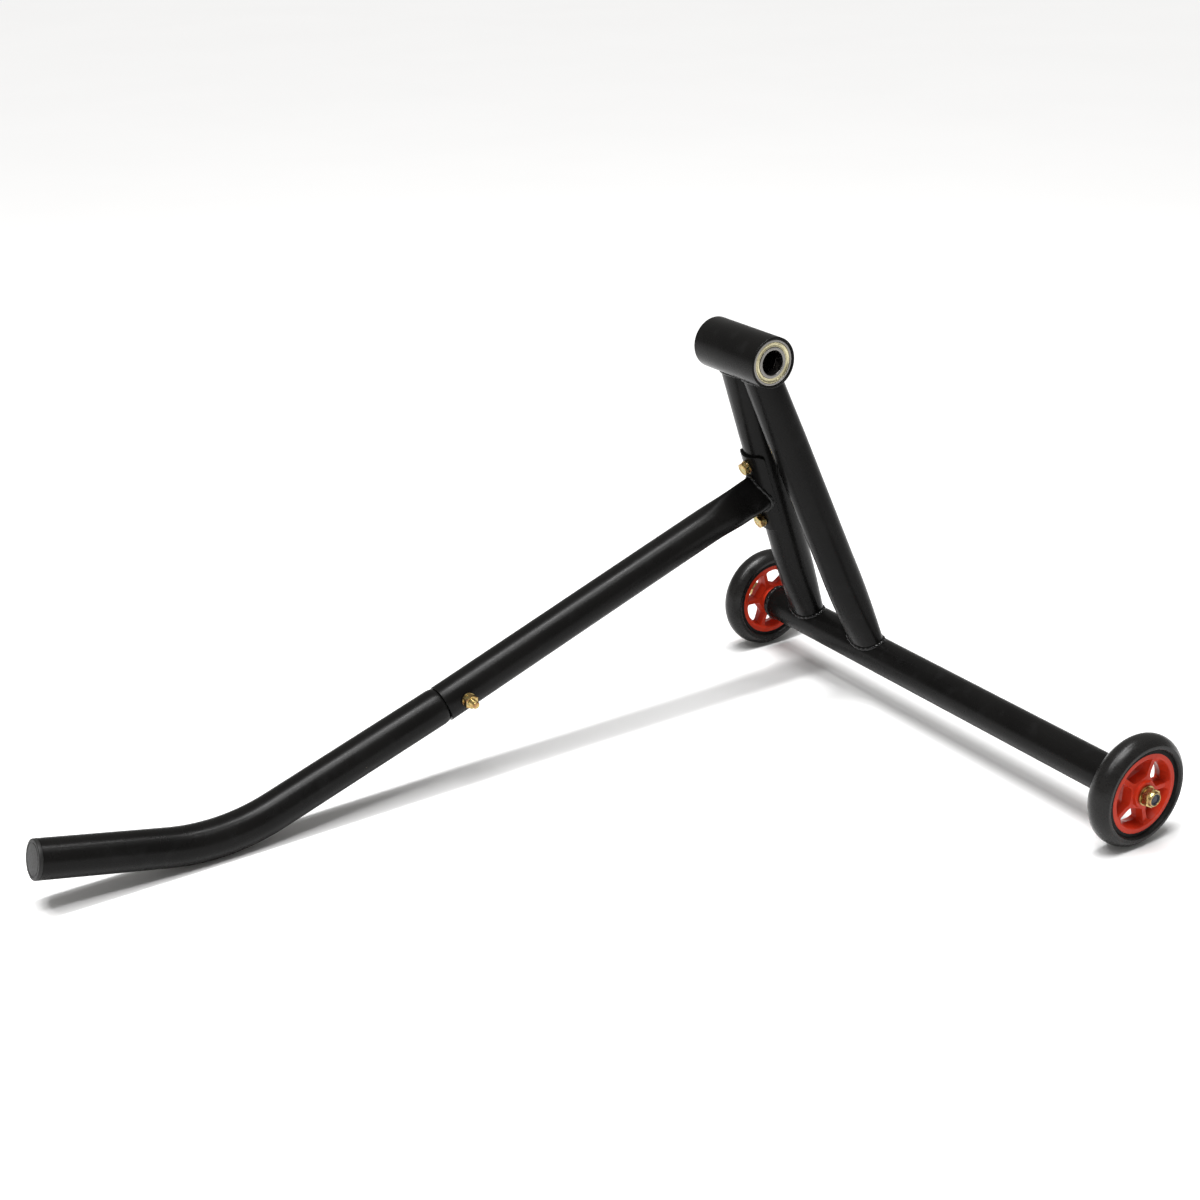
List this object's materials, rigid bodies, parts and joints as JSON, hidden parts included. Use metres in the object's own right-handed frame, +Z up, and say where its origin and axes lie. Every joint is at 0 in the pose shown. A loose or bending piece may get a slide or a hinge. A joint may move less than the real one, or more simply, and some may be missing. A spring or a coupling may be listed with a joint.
{
  "type": "paddock stand",
  "caption": "Single-sided motorcycle paddock stand: wheeled axle tube, paired struts, bearing head for a spindle, and a bolted two-piece bent lever.",
  "frame": {"origin": "on the floor under the middle of the stand's box", "axes": "+Z up; the wheel axle and the bearing head lie along Y; the lever runs towards -X"},
  "size_m": [0.9443, 0.6038, 0.4183],
  "materials": {
    "powder_coat": "satin black powder coat",
    "coated_weld": "glossier black powder coat over weld bead",
    "yellow_zinc": "yellow passivated zinc",
    "bright_zinc": "bright zinc",
    "bearing_steel": "ground bearing steel",
    "shield_steel": "pressed steel shield, pale gold",
    "cage_steel": "pressed steel",
    "red_plastic": "glossy orange-red moulded plastic",
    "tyre_rubber": "smooth black rubber",
    "black_plastic": "fine-grained black plastic"
  },
  "bodies": {
    "frame": {"axle_tube": "powder_coat", "near_strut": "powder_coat", "far_strut": "powder_coat", "head_tube": "powder_coat", "near_foot_weld": "coated_weld", "far_foot_weld": "coated_weld", "head_weld": "coated_weld", "lever_bracket": "powder_coat", "bracket_bolts": "yellow_zinc", "bracket_nuts": "yellow_zinc", "bracket_washers": "yellow_zinc", "lever_upper_tube": "powder_coat", "lever_root_weld": "coated_weld", "lever_lower_tube": "powder_coat", "lever_end_cap": "black_plastic", "joint_bolt": "yellow_zinc", "joint_nut": "yellow_zinc", "joint_washer": "yellow_zinc", "near_axle_end_disc": "powder_coat", "near_axle_end_weld": "coated_weld", "near_axle_stud": "yellow_zinc", "near_axle_spacer": "bright_zinc", "near_axle_washers": "yellow_zinc", "near_axle_nut": "yellow_zinc", "far_axle_end_disc": "powder_coat", "far_axle_end_weld": "coated_weld", "far_axle_stud": "yellow_zinc", "far_axle_spacer": "bright_zinc", "far_axle_washers": "yellow_zinc", "far_axle_nut": "yellow_zinc", "near_bearing_outer_ring": "bearing_steel", "near_bearing_shields": "shield_steel", "far_bearing_outer_ring": "bearing_steel", "far_bearing_shields": "shield_steel"},
    "near_wheel": {"near_wheel_hub": "red_plastic", "near_tyre": "tyre_rubber", "near_wheel_bush": "bright_zinc"},
    "far_wheel": {"far_wheel_hub": "red_plastic", "far_tyre": "tyre_rubber", "far_wheel_bush": "bright_zinc"},
    "near_spindle_ring": {"near_bearing_inner_ring": "bearing_steel"},
    "near_ball_set": {"near_bearing_balls": "bearing_steel", "near_bearing_cage": "cage_steel"},
    "far_spindle_ring": {"far_bearing_inner_ring": "bearing_steel"},
    "far_ball_set": {"far_bearing_balls": "bearing_steel", "far_bearing_cage": "cage_steel"}
  },
  "joints": [
    {"name": "near_wheel_spin", "type": "hinge", "parent": "frame", "child": "near_wheel", "pos_m": [0.41628, -0.2776, 0.056], "axis": [0, 1, 0], "continuous": true},
    {"name": "far_wheel_spin", "type": "hinge", "parent": "frame", "child": "far_wheel", "pos_m": [0.41628, 0.2776, 0.056], "axis": [0, 1, 0], "continuous": true},
    {"name": "near_spindle_spin", "type": "hinge", "parent": "frame", "child": "near_spindle_ring", "pos_m": [0.29001, 0.1198, 0.39228], "axis": [0, 1, 0], "continuous": true},
    {"name": "near_ball_orbit", "type": "hinge", "parent": "frame", "child": "near_ball_set", "pos_m": [0.29001, 0.1198, 0.39228], "axis": [0, 1, 0], "continuous": true},
    {"name": "far_spindle_spin", "type": "hinge", "parent": "frame", "child": "far_spindle_ring", "pos_m": [0.29001, 0.203, 0.39228], "axis": [0, 1, 0], "continuous": true},
    {"name": "far_ball_orbit", "type": "hinge", "parent": "frame", "child": "far_ball_set", "pos_m": [0.29001, 0.203, 0.39228], "axis": [0, 1, 0], "continuous": true}
  ],
  "couplings": [
    {"joint": "near_ball_orbit", "follows": "near_spindle_spin", "ratio": 0.41181},
    {"joint": "far_ball_orbit", "follows": "far_spindle_spin", "ratio": 0.41181}
  ]
}
